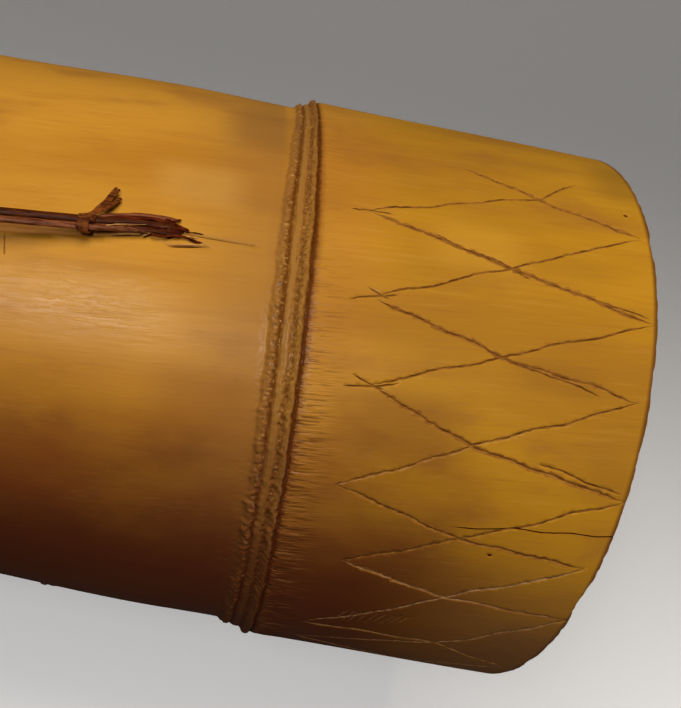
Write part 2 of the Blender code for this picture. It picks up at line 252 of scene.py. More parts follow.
def round_patch(tree, parts, x, y, reach_x, reach_y):
    """1 around a place on the upper side, fading to 0 over a reach of (outer, inner) each way."""
    steps = [(parts.outputs["Z"], AXIS_HEIGHT, AXIS_HEIGHT + 12 * MM)]
    for name, centre, (outer, inner) in (("X", x, reach_x), ("Y", y, reach_y)):
        from_centre = add_node(
            tree, "ShaderNodeMath", {0: parts.outputs[name], 1: centre}, operation="SUBTRACT"
        ).outputs[0]
        away = add_node(tree, "ShaderNodeMath", {0: from_centre}, operation="ABSOLUTE").outputs[0]
        steps.append((away, outer, inner))
    return cover(tree, *steps)


def give_surface(tree, shader, colour, roughness, relief, depth, strength=0.6, shine=0.5):
    """Gives a material its colour, roughness and shine, and a relief that is depth mm deep."""
    bump = add_node(
        tree, "ShaderNodeBump", {"Strength": strength, "Distance": depth * MM, "Height": relief}
    ).outputs[0]
    feed(tree, shader, {
        "Base Color": colour, "Roughness": roughness, "Normal": bump, "Specular IOR Level": shine
    })


# ------------------------------------------------------------------ the culm's skin

RING_BANDS = (
    (0.0, "94642e", 0.0), (0.15, "94642e", 0.25), (0.21, "8e6230", 0.8), (0.3, "87592a", 0.8),
    (0.34, "663810", 0.9), (0.37, "663810", 0.9), (0.42, "946a35", 0.75), (0.5, "8f6230", 0.75),
    (0.53, "714620", 0.8), (0.57, "784e24", 0.75), (0.61, "9a6e36", 0.75), (0.67, "875a24", 0.8),
    (0.7, "55240a", 0.95), (0.75, "562709", 0.9), (0.8, "844d1c", 0.5), (0.88, "9c6228", 0.0),
)  # share of the way across the bands, colour, cover
BANDS_REACH = (-6.6, 3.4)  # the bands start and end here, in mm from the crease
SCAR_BAND = (-4.4, -3.9), (-2.7, -3.1)  # where the rough scar's pits fade in and out
DOTTED_BAND = (-1.5, -1.1), (0.0, -0.6)

PAINTED_SHADE_TURN = math.radians(30)  # the painted shade is darkest on the side that faces -Y, this much below level
SMUDGES = (
    (15, -15, 13, 7.5, 0.55, "7e4e22"), (-10, 28, 8, 8, 0.5, "80582c"),
    (46, 31, 9, 8, 0.5, "86601f"), (35.5, -5, 9, 3.5, 0.4, "8a5a20"),
    (45.5, -17, 7, 5, 0.35, "8a5c20"), (-12, -16, 12, 6, 0.35, "8a5224"),
    # The smudge at -36 mm, -27 mm adds painted shade to the underside.
    (-36, -27, 14, 7, 0.5, "7a3a1a"), (-18, 14, 9, 5, 0.4, "d0a050"),
    (22, 12, 10, 6, 0.4, "cf9c34"),
)  # mm from the ring's crease along X, Y in mm, reach each way in mm, strength, colour
SMUDGE_CORE = 0.25  # a smudge keeps its full strength over this share of its reach


def from_rings(tree, place, parts):
    """Distance from the nearer ring's leaning crease in mm: towards +X, and towards its own end."""
    side = add_node(tree, "ShaderNodeMath", {0: parts.outputs["X"]}, operation="SIGN").outputs[0]
    tilted = add_node(
        tree, "ShaderNodeVectorMath",
        {0: place, 1: (1 / MM, -RING_LEAN_Y / MM, -RING_LEAN_Z / MM)}, operation="DOT_PRODUCT",
    ).outputs["Value"]
    ring_at = add_node(
        tree, "ShaderNodeMath",
        {0: side, 1: RING_X / MM, 2: -RING_LEAN_Z * AXIS_HEIGHT / MM}, operation="MULTIPLY_ADD",
    ).outputs[0]
    from_ring = add_node(
        tree, "ShaderNodeMath", {0: tilted, 1: ring_at}, operation="SUBTRACT"
    ).outputs[0]
    outward = add_node(
        tree, "ShaderNodeMath", {0: from_ring, 1: side}, operation="MULTIPLY"
    ).outputs[0]
    return from_ring, outward


def with_rim_stain(tree, place, colour):
    """Dirt that darkens the last half millimetre of skin before the right saw cut."""
    lean_z, lean_y = RIM_LEAN[1]
    towards_rim = add_node(
        tree, "ShaderNodeVectorMath",
        {0: place, 1: (1 / MM, -lean_y / MM, -lean_z / MM)}, operation="DOT_PRODUCT",
    ).outputs["Value"]
    rim_at = (RIM_X[1] - lean_z * AXIS_HEIGHT) / MM
    return laid_over(tree, colour, "5e3512", (towards_rim, rim_at - 0.9, rim_at - 0.2, 0, 0.85))


def with_ring_bands(tree, space, parts, from_ring, colour):
    """A node's brown bands, with dark pits and pale grains in the rough ones. It gives their cover
    too."""
    wander = grain(tree, space, 2.0, 1.1, 4, 0.65, shift=5)
    specks = grain(tree, space, 0.7, 0.45, 2, shift=3)
    low, high = (reach * FLAT_RADIUS for reach in SQUEEZE_REACH)
    stretch = cover(tree, (parts.outputs["Y"], low, high, 1 / RING_OPEN, 1 / RING_SQUEEZED))
    ragged = add_node(
        tree, "ShaderNodeMath", {0: from_ring, 1: stretch, 2: wander}, operation="MULTIPLY_ADD"
    ).outputs[0]
    band_at = add_node(
        tree, "ShaderNodeMapRange",
        {"Value": ragged, "From Min": BANDS_REACH[0], "From Max": BANDS_REACH[1]},
    ).outputs[0]
    bands = add_node(tree, "ShaderNodeValToRGB", {0: band_at}, stops=RING_BANDS)
    colour = laid_over(tree, colour, bands.outputs["Color"], bands.outputs["Alpha"])
    scar, dotted = (
        cover(tree, *((ragged, *edge) for edge in band)) for band in (SCAR_BAND, DOTTED_BAND)
    )
    pitted = add_node(
        tree, "ShaderNodeMath", {0: scar, 1: dotted}, operation="MAXIMUM"
    ).outputs[0]
    colour = laid_over(tree, colour, "5c3416", pitted, (specks, 0.52, 0.64, 0, 0.6))
    colour = laid_over(tree, colour, "d2a460", pitted, (specks, 0.42, 0.3, 0, 0.45))
    return colour, bands.outputs["Alpha"]


def with_painted_shade_and_smudges(tree, place, parts, clouds, outward, bands, colour):
    """Painted shade on the side that faces -Y, greyer past each ring, and the smudges on top."""
    aside, below = math.cos(PAINTED_SHADE_TURN), math.sin(PAINTED_SHADE_TURN)
    down = add_node(
        tree, "ShaderNodeVectorMath",
        {0: place, 1: (0, -aside / FLAT_RADIUS, -below / FLAT_RADIUS)}, operation="DOT_PRODUCT",
    ).outputs["Value"]
    down = add_node(
        tree, "ShaderNodeMath", {0: down, 1: below * AXIS_HEIGHT / FLAT_RADIUS}
    ).outputs[0]
    down = add_node(
        tree, "ShaderNodeMath", {0: clouds, 1: 0.5, 2: down}, operation="MULTIPLY_ADD"
    ).outputs[0]
    off_bands = add_node(
        tree, "ShaderNodeMath", {0: bands, 1: -0.3, 2: 1.0}, operation="MULTIPLY_ADD"
    ).outputs[0]
    # Painted shade, red-brown, darker towards the underside that faces -Y; it fades out from 10 to
    # 44 mm past each ring and is weaker on the ring's bands.
    colour = laid_over(
        tree, colour, "602b19", (down, 0.0, 0.75, 0, 0.93), (outward, 44, 10), off_bands
    )
    # More painted shade, grey-brown, on the underside of each end, growing from 18 to 40 mm past
    # its ring.
    colour = laid_over(tree, colour, "7e5c46", (down, 0.3, 1.0, 0, 0.6), (outward, 18, 40))
    for x, y, *reaches, strength, tint in SMUDGES:
        fades = ((reach * MM, SMUDGE_CORE * reach * MM) for reach in reaches)
        smudge = round_patch(tree, parts, RING_X + x * MM, y * MM, *fades)
        colour = laid_over(tree, colour, tint, smudge, strength)
    return colour


def make_skin():
    """Bamboo's own outer skin, cured and handled: hard, smooth and honey to orange, with a broad
    soft shine, cloudy blotches, fibres that lean, scuffs, and the scar and bands of each node."""
    material, tree, shader = new_material("cured_skin")
    space = fibre_space(tree)
    place = add_node(tree, "ShaderNodeTexCoord").outputs["Object"]
    parts = add_node(tree, "ShaderNodeSeparateXYZ", {0: place})
    from_ring, outward = from_rings(tree, place, parts)

    blotches = grain(tree, space, 70, 22, 3)
    clouds = grain(tree, space, 16, 10, 4, 0.55, shift=29)
    streaks = grain(tree, space, 28, 3.5, 3, shift=7)
    fibres = grain(tree, space, 9, 0.5, 4, 0.6)  # fibre bundles lie about half a millimetre apart
    wrinkles = grain(tree, space, 3.6, 0.27, 2, shift=11)

    colour = laid_over(tree, "c68e2f", "ae7524", (blotches, 0.36, 0.66))
    end_colour = laid_over(tree, "bd8a1c", "a8771e", (blotches, 0.4, 0.62))
    colour = laid_over(tree, colour, end_colour, (outward, 2, 16), 0.85)
    for pattern, bare, full, most, tint in (
        (clouds, 0.52, 0.72, 0.4, "96622b"), (streaks, 0.5, 0.72, 0.22, "98602a"),
        (fibres, 0.52, 0.75, 0.2, "8a5524"), (fibres, 0.45, 0.3, 0.1, "dca95c"),
    ):
        colour = laid_over(tree, colour, tint, (pattern, bare, full, 0, most))
    colour = with_rim_stain(tree, place, colour)
    colour = laid_over(tree, colour, "a06a24", (from_ring, 0.1, 0.5), (from_ring, 11, 1), 0.25)
    colour = laid_over(tree, colour, "976a36", (from_ring, -22, -6), (from_ring, -4, -5.4), 0.5)
    colour, bands = with_ring_bands(tree, space, parts, from_ring, colour)
    # Painted shade on the underside, then the smudges.
    colour = with_painted_shade_and_smudges(tree, place, parts, clouds, outward, bands, colour)

    towards_hands = (parts.outputs["Y"], 14 * MM, -18 * MM, 0.12, 1.0)
    wrinkled = cover(tree, (from_ring, 0.15, 0.4), (from_ring, 8, 1.5), towards_hands)
    # Painted shade in the wrinkles' troughs and painted highlight on their ridges, over their bump.
    colour = laid_over(tree, colour, "4e2410", wrinkled, (wrinkles, 0.47, 0.38, 0, 0.6))
    colour = laid_over(tree, colour, "b07c44", wrinkled, (wrinkles, 0.56, 0.66, 0, 0.45))

    # A rubbed patch where the glint panel's highlight falls: its scuffs are real wear, and its even
    # pale tint is painted highlight.
    rubbed_and_sheen = round_patch(tree, parts, 192 * MM, -5.5 * MM, (12 * MM, 5 * MM), (5 * MM, 1.5 * MM))
    worn = cover(tree, (grain(tree, space, 14, 5, 2, shift=19), 0.56, 0.72, 0, 0.12))
    worn = add_node(tree, "ShaderNodeMath", {0: worn, 1: rubbed_and_sheen}, operation="MAXIMUM").outputs[0]
    scuffs = cover(tree, worn, (grain(tree, space, 2.2, 0.35, 3, shift=23), 0.5, 0.68))
    # Painted highlight: an even pale tint over the patch.
    colour = laid_over(tree, colour, "dcae74", rubbed_and_sheen, 0.12)
    colour = laid_over(tree, colour, "ecc78c", scuffs, 0.3)

    rough = add_node(
        tree, "ShaderNodeMath",
        {0: scuffs, 1: 0.15, 2: cover(tree, (fibres, 0.35, 0.7, 0.33, 0.44))},
        operation="MULTIPLY_ADD",
    ).outputs[0]
    relief = add_node(
        tree, "ShaderNodeMath", {0: fibres, 1: 0.5, 2: scuffs}, operation="MULTIPLY_ADD"
    ).outputs[0]
    relief = add_node(
        tree, "ShaderNodeMath", {0: cover(tree, wrinkled, wrinkles), 1: 4.0, 2: relief},
        operation="MULTIPLY_ADD",
    ).outputs[0]
    give_surface(tree, shader, colour, rough, relief, 0.12, strength=0.35, shine=0.3)
    return material


# ------------------------------------------------------------------ the other materials


def make_wood(name, pale, dark, length=25, width=1.2, rough=0.6, depth=0.15, shine=0.12):
    """Plain split wood or fibre: two colours in streaks of length by width mm along the tube."""
    material, tree, shader = new_material(name)
    space = fibre_space(tree)
    streaks = grain(tree, space, length, width, 4, 0.65)
    patches = grain(tree, space, length / 3, width * 5, 2, shift=4)
    colour = laid_over(tree, pale, dark, (streaks, 0.38, 0.64))
    colour = laid_over(tree, colour, dark, (patches, 0.45, 0.75, 0, 0.4))
    roughness = cover(tree, (streaks, 0.3, 0.7, rough + 0.1, rough - 0.1))
    give_surface(tree, shader, colour, roughness, streaks, depth, shine=shine)
    return material


def make_end_grain():
    """A saw cut across bamboo: pale pith with brown bundle dots, closer together near the skin."""
    material, tree, shader = new_material("sawn_end")
    place = add_node(tree, "ShaderNodeTexCoord").outputs["Object"]
    centred = add_node(
        tree, "ShaderNodeVectorMath", {0: place, 1: (0, 0, -AXIS_HEIGHT)}, operation="ADD"
    ).outputs[0]
    parts = add_node(tree, "ShaderNodeSeparateXYZ", {0: centred})
    across = add_node(
        tree, "ShaderNodeCombineXYZ", {"Y": parts.outputs["Y"], "Z": parts.outputs["Z"]}
    ).outputs[0]
    radius = add_node(
        tree, "ShaderNodeVectorMath", {0: across}, operation="LENGTH"
    ).outputs["Value"]
    near_skin = cover(tree, (radius, INNER_RADIUS, 43.5 * MM))
    fine, coarse = (
        add_node(
            tree, "ShaderNodeTexVoronoi", {"Vector": across, "Scale": 1 / (spacing * MM)}
        ).outputs["Distance"]
        for spacing in (0.55, 1.1)
    )
    fine, coarse = cover(tree, (fine, 0.42, 0.28)), cover(tree, (coarse, 0.32, 0.2))
    dots = laid_over(tree, coarse, fine, near_skin)
    space = fibre_space(tree)
    colour = laid_over(tree, "d2b27c", "a97f45", near_skin)
    colour = laid_over(tree, colour, "8f6a3c", (grain(tree, space, 6, 6, 3), 0.4, 0.7, 0, 0.5))
    colour = laid_over(tree, colour, "6b4520", dots, 0.75)
    saw_marks = grain(tree, space, 30, 0.35, 2, shift=9)
    give_surface(tree, shader, colour, 0.85, saw_marks, 0.15)
    return material


SKIN = make_skin()
SAWN = make_end_grain()
# The inner wall has no skin: pale, dull and straight-grained.
BORE = make_wood("bore_wall", "cfae74", "a98549", 30, 1.0, 0.8)
# Wood that a knife laid bare: brown with years of dirt, and paler and greyer on the handled side.
SCRATCH = make_wood("knife_scratch", "9c6b2b", "683f16", 3, 0.5, 0.75)
SCRATCH_PALE = make_wood("knife_scratch_pale", "bd9468", "7c5634", 3, 0.5, 0.75)
# Skin that a blade only grazed keeps its colour, and loses its shine.
SCRAPED = make_wood("scraped_skin", "a8722a", "8a5a20", 4, 0.5, 0.7)
# Torn fibres hold the darkest dirt: nearly black and matt.
TORN = make_wood("torn_fibres", "62260d", "2c0c03", 5, 0.3, 0.8)
# The wood under a lifted string, a little duller and redder than the skin beside it.
BED = make_wood("string_bed", "b98242", "96622a", 25, 0.6, 0.7)
# The strings are skin too, darkened by fingers until they shine like leather. One strip is paler
# than the other.
STRING = make_wood("bast_string", "552608", "2c0f02", 12, 0.25, 0.45, 0.1, 0.4)
STRING_PALE = make_wood("bast_string_paler", "8c5230", "4a1e0a", 12, 0.25, 0.4, 0.1, 0.5)
# A flat strip of bast, red-brown and finely ribbed, with little shine.
TWINE = make_wood("bast_twine", "804518", "38160a", 8, 0.3, 0.6, 0.1, 0.25)
# Splinters that came up lately are still the pale colour of clean bamboo.
SPLINTER = make_wood("lifted_splinter", "dcae66", "a06a2c", 6, 0.3, 0.5)
# The web across the bore is papery: pale, dry and faintly crumpled.
WEB = make_wood("papery_web", "d8c091", "b3935c", 9, 2.5, 0.9)
# Whittled hardwood with no varnish, straight-grained and half matt.
BRIDGE = make_wood("bridge_wood", "96673a", "6a4322", 12, 0.5, 0.6)

# ------------------------------------------------------------------ meshes


def select_only(obj):
    """Selects one object, or with None no object."""
    for other in bpy.context.selected_objects:
        other.select_set(False)
    if obj:
        obj.select_set(True)
        bpy.context.view_layer.objects.active = obj


def wall_piece(name, planes, columns, rows, radius_of, spacing=None):
    """A closed length of the tube's wall between two slanting planes, functions of (y, z).

    It starts as a flat grid that is rolled round the axis. Its outer side takes radius_of(x, turn,
    share), and its ends and bore follow.
    """
    select_only(None)
    bpy.ops.mesh.primitive_grid_add(x_subdivisions=columns, y_subdivisions=rows, size=2)
    piece = bpy.context.active_object
    start, end = planes
    work = bmesh.new()
    work.from_mesh(piece.data)
    for vertex in work.verts:
        share = (vertex.co.x + 1) / 2
        if spacing:
            share = spacing(share)
        turn = math.pi * vertex.co.y
        y = FLAT_RADIUS * math.sin(turn)
        z = FLAT_RADIUS * math.cos(turn)
        x = start(y, z) * (1 - share) + end(y, z) * share
        radius = radius_of(x, turn, share)
        y = radius * math.sin(turn)
        z = radius * math.cos(turn)
        x = start(y, z) * (1 - share) + end(y, z) * share
        vertex.co = (x, y, AXIS_HEIGHT + z)
    bmesh.ops.remove_doubles(work, verts=work.verts, dist=1e-7)
    rims = [edge for edge in work.edges if edge.is_boundary]
    middle = (start(0, 0) + end(0, 0)) / 2
    made = bmesh.ops.extrude_edge_only(work, edges=rims)["geom"]
    for face in (item for item in made if isinstance(item, bmesh.types.BMFace)):
        face.material_index = 1
    for vertex in (item for item in made if isinstance(item, bmesh.types.BMVert)):
        turn = math.atan2(vertex.co.y, vertex.co.z - AXIS_HEIGHT)
        y = INNER_RADIUS * math.sin(turn)
        z = INNER_RADIUS * math.cos(turn)
        plane = start if vertex.co.x < middle else end
        vertex.co = (plane(y, z), y, AXIS_HEIGHT + z)
    inner = [edge for edge in work.edges if edge.is_boundary]
    for face in bmesh.ops.bridge_loops(work, edges=inner)["faces"]:
        face.material_index = 2
    bmesh.ops.recalc_face_normals(work, faces=work.faces)
    work.to_mesh(piece.data)
    work.free()
    for material in (SKIN, SAWN, BORE):
        piece.data.materials.append(material)
    return joined(name, [piece], 35)


def hold(piece, slot, *nodes, body="tube"):
    """Ties a finished piece to the frame."""
    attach(piece, body)
    if nodes:
        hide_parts(*nodes)
    return piece


# ------------------------------------------------------------------ strands and cutting


def new_strand(material, sides, cuts, place):
    """A closed strand, from a cylinder cut across many times. place(share, across, out) puts a
    point: share of the length, then a place on a circle of radius 1."""
    select_only(None)
    bpy.ops.mesh.primitive_cylinder_add(vertices=sides, radius=1, depth=2)
    strand = bpy.context.active_object
    work = bmesh.new()
    work.from_mesh(strand.data)
    long_edges = [edge for edge in work.edges if abs(edge.verts[0].co.z - edge.verts[1].co.z) > 1]
    bmesh.ops.subdivide_edges(work, edges=long_edges, cuts=cuts)
    for vertex in work.verts:
        vertex.co = place((vertex.co.z + 1) / 2, vertex.co.x, vertex.co.y)
    if work.calc_volume(signed=True) < 0:
        bmesh.ops.reverse_faces(work, faces=work.faces)
    work.to_mesh(strand.data)
    work.free()
    strand.data.materials.clear()
    strand.data.materials.append(material)
    return strand


def joined(name, strands, angle=50):
    """The strands as one named piece, whose edges sharper than angle degrees stay crisp."""
    select_only(strands[0])
    for strand in strands:
        strand.select_set(True)
    if len(strands) > 1:
        bpy.ops.object.join()
    whole = bpy.context.active_object
    whole.name = name
    whole.data.name = name
    bpy.ops.object.shade_smooth_by_angle(angle=math.radians(angle))
    return whole


def cut(piece, cutters):
    """Takes each cutter away from the piece, whose cut faces take the cutters' materials."""
    for cutter in cutters:
        for material in cutter.data.materials:
            if material.name not in piece.data.materials:
                piece.data.materials.append(material)
        select_only(piece)
        knife = piece.modifiers.new("cut", "BOOLEAN")
        knife.operation = "DIFFERENCE"
        knife.solver = "MANIFOLD"
        knife.object = cutter
        knife.material_mode = "TRANSFER"
        bpy.ops.object.modifier_apply(modifier="cut")
        bpy.data.objects.remove(cutter)


# ------------------------------------------------------------------ culm

RING_SHAPE = (
    (-6.6, 41.95), (-5.4, 42.0), (-4.6, 42.55), (-4.2, 42.7), (-3.8, 42.6), (-3.35, 42.3),
    (-2.9, 42.75), (-2.2, 42.95), (-1.75, 42.8), (-1.35, 42.95), (-0.95, 43.6), (-0.6, 43.85),
    (-0.3, 43.75), (0.1, 43.2), (0.5, 43.45), (1.4, 43.6), (5.4, 43.6),
)  # mm from the crease, radius in mm


def skin_only(x, turn, share):
    """The radius for a wall piece with no ring on it."""
    return skin_radius(x, turn)


def around(turn, x, width, length=None, seed=0):
    """Unevenness of the skin whose grains are width mm round the tube and length mm along it."""
    y, z = FLAT_RADIUS * math.sin(turn), FLAT_RADIUS * math.cos(turn)
    along = x / ((length or width) * MM) + seed
    return noise.noise(Vector((along, y / (width * MM), z / (width * MM))))


def ring_squeeze(turn):
    """How wide a ring's bands are: they run together where the tube's side faces +Y."""
    return RING_OPEN - (RING_OPEN - RING_SQUEEZED) * smooth(*SQUEEZE_REACH, math.sin(turn))


# The ring's bands in mm from its crease, each as two (outer, inner) edges.
RING_BODY = (-6.6, -5.8), (5.4, 2.0)
SCAR_RIDGE = (-5.0, -4.6), (-3.5, -3.8)
DOTTED_DIP = (-2.2, -1.9), (-1.3, -1.5)
BEAD = (-1.3, -0.9), (-0.2, -0.5)
WRINKLED_FLANK = (0.1, 0.6), (5.4, 2.0)

RING_FINE_SHARE = 0.82  # this share of a ring's columns lies before 1 mm past its crease


def ring_columns(share):
    """Sets a ring's columns close together over its bands, and wider beyond them."""
    bend = (1 * MM - RING_START) / (RING_END - RING_START)
    if share < RING_FINE_SHARE:
        return share / RING_FINE_SHARE * bend
    return bend + (share - RING_FINE_SHARE) / (1 - RING_FINE_SHARE) * (1 - bend)


def ring_radius(side):
    """The radius all over a ring's piece. Heights and grains are in mm."""
    ring_x = side * RING_X

    def edge_radius(offset, turn):
        y, z = FLAT_RADIUS * math.sin(turn), FLAT_RADIUS * math.cos(turn)
        return skin_radius(ring_plane(ring_x + offset, y, z), turn)

    def radius(x, turn, share):
        along = (RING_START + share * (RING_END - RING_START)) / MM
        wander = 0.4 * around(turn, ring_x, 3.0, seed=side)
        wander += 0.22 * around(turn, ring_x, 0.8, seed=side)
        inside = within(RING_BODY, along)
        shifted = (along + wander * inside) / ring_squeeze(turn)
        height = between(RING_SHAPE, shifted)
        pit = around(turn, x, 0.45, 0.5, seed=7)
        dot = max(0, around(turn, x, 0.5, 0.6, seed=5) + 0.05)
        wrinkle = (0.09 - 0.05 * math.sin(turn)) * around(turn, x, 0.42, 5.0, seed=9)
        height += within(SCAR_RIDGE, shifted) * (0.2 * pit + 0.12 * around(turn, x, 1.1, seed=3))
        height -= within(DOTTED_DIP, shifted) * 0.4 * dot
        height += within(BEAD, shifted) * (0.08 * around(turn, x, 1.4) + 0.03 * pit)
        height += within(WRINKLED_FLANK, along) * wrinkle + inside * 0.03 * pit
        start = edge_radius(RING_START, turn) - RING_SHAPE[0][1] * MM
        end = edge_radius(RING_END, turn) - RING_SHAPE[-1][1] * MM
        return height * MM + start * (1 - share) + end * share

    return radius


# Knife cuts at the right end, as (mm from the ring's crease, degrees from the top line).
LEFT_TIPS = ((6.0, 19.6), (8.4, 2.0), (9.7, -13.9), (8.1, -33.1), (11.6, -49.2), (9.0, -71.8))
CROSSINGS = (
    (30.9, 31.7), (27.1, 13.0), (27.1, -4.5), (25.1, -21.5), (26.8, -39.6), (27.3, -54.2),
    (29.3, -70.7),
)
RIGHT_TIPS = ((46.4, 26.1), (48.4, 7.1), (47.4, -8.0), (48.4, -26.4), (45.6, -41.4), (45.8, -54.9))
DIAMONDS = 21  # places round the tube, of which the last three stay bare
FIRST_STROKES = ((19.9, 37.3), (37.5, 40.0))  # outermost tips where the band of diamonds starts
PALE_SIDE = (-120, -50)  # between these degrees the cuts are paler
RISING, FALLING, GRAZED = (0.36, 0.16), (0.40, 0.17), (1.3, 0.06)  # width and depth in mm
OVERCUTS = (
    ((3.4, 19.3), (9.5, 19.9)),
    ((4.9, 0.8), (11.5, 3.2)), ((7.3, 3.6), (10.6, 2.2)), ((6.2, -14.9), (13.5, -13.0)),
    ((7.2, -12.6), (11.8, -14.1)), ((40.1, 9.9), (47.6, 8.3)), ((27.6, -4.9), (41.6, -7.9)),
    ((35.1, -22.4), (47.2, -25.2)), ((15.8, 17.4), (19.6, 16.0)), ((22.0, 14.9), (30.0, 11.6)),
)
RING_OVERCUTS = (0, 1)  # of these, the ones that start on the ring's own piece
CRACK = ((25.0, -37.3), (50.0, -33.0))
NICKS = ((31.7, -41.9), (44.5, 32.3))
HATCHES = 9


def cut_place(point):
    """(mm from the crease, degrees) as (x, arc)."""
    x, degrees = point
    return RING_X + x * MM, math.radians(degrees) * FLAT_RADIUS


def rim_from_ring(degrees):
    """How far the right saw cut is from the ring's crease there, in mm."""
    turn = math.radians(degrees)
    y, z = FLAT_RADIUS * math.sin(turn), FLAT_RADIUS * math.cos(turn)
    return (rim_plane(1, y, z) - RING_X) / MM


def knife_groove(points, size, seed, material=None, ragged=1.0):
    """A cutter, V-shaped below the skin, along points. Its size is (width, depth) in mm."""
    width, depth = (measure * MM for measure in size)
    flat = [Vector(cut_place(point)) for point in points]
    lengths = [(b - a).length for a, b in zip(flat, flat[1:])]
    total = sum(lengths)

    def place(share, across, out):
        left = share * total
        for a, b, length in zip(flat, flat[1:], lengths):
            if left <= length or b is flat[-1]:
                break
            left -= length
        way = (b - a) / length
        spot = a + way * left
        beside = Vector((-way.y, way.x))
        waver = noise.noise(Vector((share * total / (6 * MM), seed, 0)))
        nick = noise.noise(Vector((share * total / (0.9 * MM), seed, 5)))
        swell = noise.noise(Vector((share * total / MM, seed, 9)))
        spot += beside * (0.55 * waver + 0.12 * ragged * nick) * MM
        taper = min(1, 12 * share + 0.1, 12 * (1 - share) + 0.1)
        half = width / 2 * taper * (1 + 0.45 * ragged * swell)
        deep = depth * taper * (1 + 0.4 * ragged * nick)
        spot += beside * half * across * 1.6
        lift = 0.12 * MM if abs(across) > 0.5 else (0.3 * MM if out > 0 else -deep)
        return on_skin(spot.x, spot.y, lift)

    return new_strand(material or SCRATCH, 4, max(4, int(total / (0.7 * MM))), place)


def overcut(number):
    """A short stroke where the knife ran on or slipped."""
    return knife_groove(OVERCUTS[number], (0.28, 0.17), 80 + number)


def diamond_cuts():
    """The knife's strokes, in layers. No stroke crosses another within its own layer."""
    chance = random.Random(4)
    step = (CROSSINGS[-1][1] - CROSSINGS[0][1] + 360) / (DIAMONDS + 1 - len(CROSSINGS))
    middles = list(CROSSINGS)
    while len(middles) <= DIAMONDS:
        degrees = CROSSINGS[0][1] - 360 + step * (DIAMONDS - len(middles))
        reach = (rim_from_ring(degrees) + 8) / 2
        middles.append((reach + chance.uniform(-1, 1), degrees + chance.uniform(-1.5, 1.5)))
    middles[DIAMONDS] = (CROSSINGS[0][0], CROSSINGS[0][1] - 360)
    left, right = list(LEFT_TIPS), list(RIGHT_TIPS)
    for number in range(len(LEFT_TIPS), DIAMONDS):
        degrees = (middles[number][1] + middles[number + 1][1]) / 2
        left.append((chance.uniform(7, 10.5), degrees + chance.uniform(-2, 2)))
        before_rim = rim_from_ring(degrees) - chance.uniform(0.6, 2)
        right.append((before_rim, degrees + chance.uniform(-2, 2)))

    left[-1] = (FIRST_STROKES[0][0], FIRST_STROKES[0][1] - 360)
    right[-1] = (FIRST_STROKES[1][0], FIRST_STROKES[1][1] - 360)
    right.insert(0, FIRST_STROKES[1])
    right.append((RIGHT_TIPS[0][0], RIGHT_TIPS[0][1] - 360))
    rising, falling, grazed = [], [], []
    for number in range(DIAMONDS):
        bare, next_bare = (
            SCRATCH_PALE if PALE_SIDE[0] < middles[at][1] < PALE_SIDE[1] else SCRATCH
            for at in (number, number + 1)
        )
        if number < DIAMONDS - 3:
            stroke = left[number], middles[number], right[number]
            rising.append(knife_groove(stroke, RISING, number, bare))
        if not DIAMONDS - 4 < number < DIAMONDS - 1:
            stroke = left[number], middles[number + 1], right[number + 2]
            falling.append(knife_groove(stroke, FALLING, number + 40, next_bare))
            grazed.append(knife_groove(stroke, GRAZED, number + 40, SCRAPED, 1.6))
    slips = [overcut(number) for number in range(len(OVERCUTS))]
    hatching = []
    for number in range(HATCHES):
        x = 1.1 * number
        stroke = (13.5 + x, -68.0 + 0.3 * number), (15.0 + x, -63.5 + 0.2 * number)
        hatching.append(knife_groove(stroke, (0.16, 0.1), 110 + number, SCRATCH_PALE))
    for x, degrees in NICKS:
        stroke = (x - 0.35, degrees), (x + 0.35, degrees)
        hatching.append(knife_groove(stroke, (0.5, 0.12), 140, TORN, 0.3))
    crack = knife_groove(CRACK, (0.15, 0.45), 130, TORN, 0.5)
    layers = (
        ("grazed", grazed), ("rising", rising), ("falling", falling), ("slips", slips[::2]),
        ("more_slips", slips[1::2]), ("hatching", hatching),
    )
    return [*(joined(name, strokes) for name, strokes in layers), crack]


SLIT_SIZE = (180 * MM, 8 * MM, 25 * MM)  # the last is the cutter's depth, more than the wall
SLIT_HEIGHT = 7.5 * MM  # the cutter's middle


def slit_cutter():
    """The sound slit along the underside."""
    select_only(None)
    bpy.ops.mesh.primitive_cube_add(size=1)
    cutter = bpy.context.active_object
    for vertex in cutter.data.vertices:
        vertex.co = Vector((0, 0, SLIT_HEIGHT)) + Vector(SLIT_SIZE) * vertex.co
    cutter.data.materials.append(BORE)
    return cutter


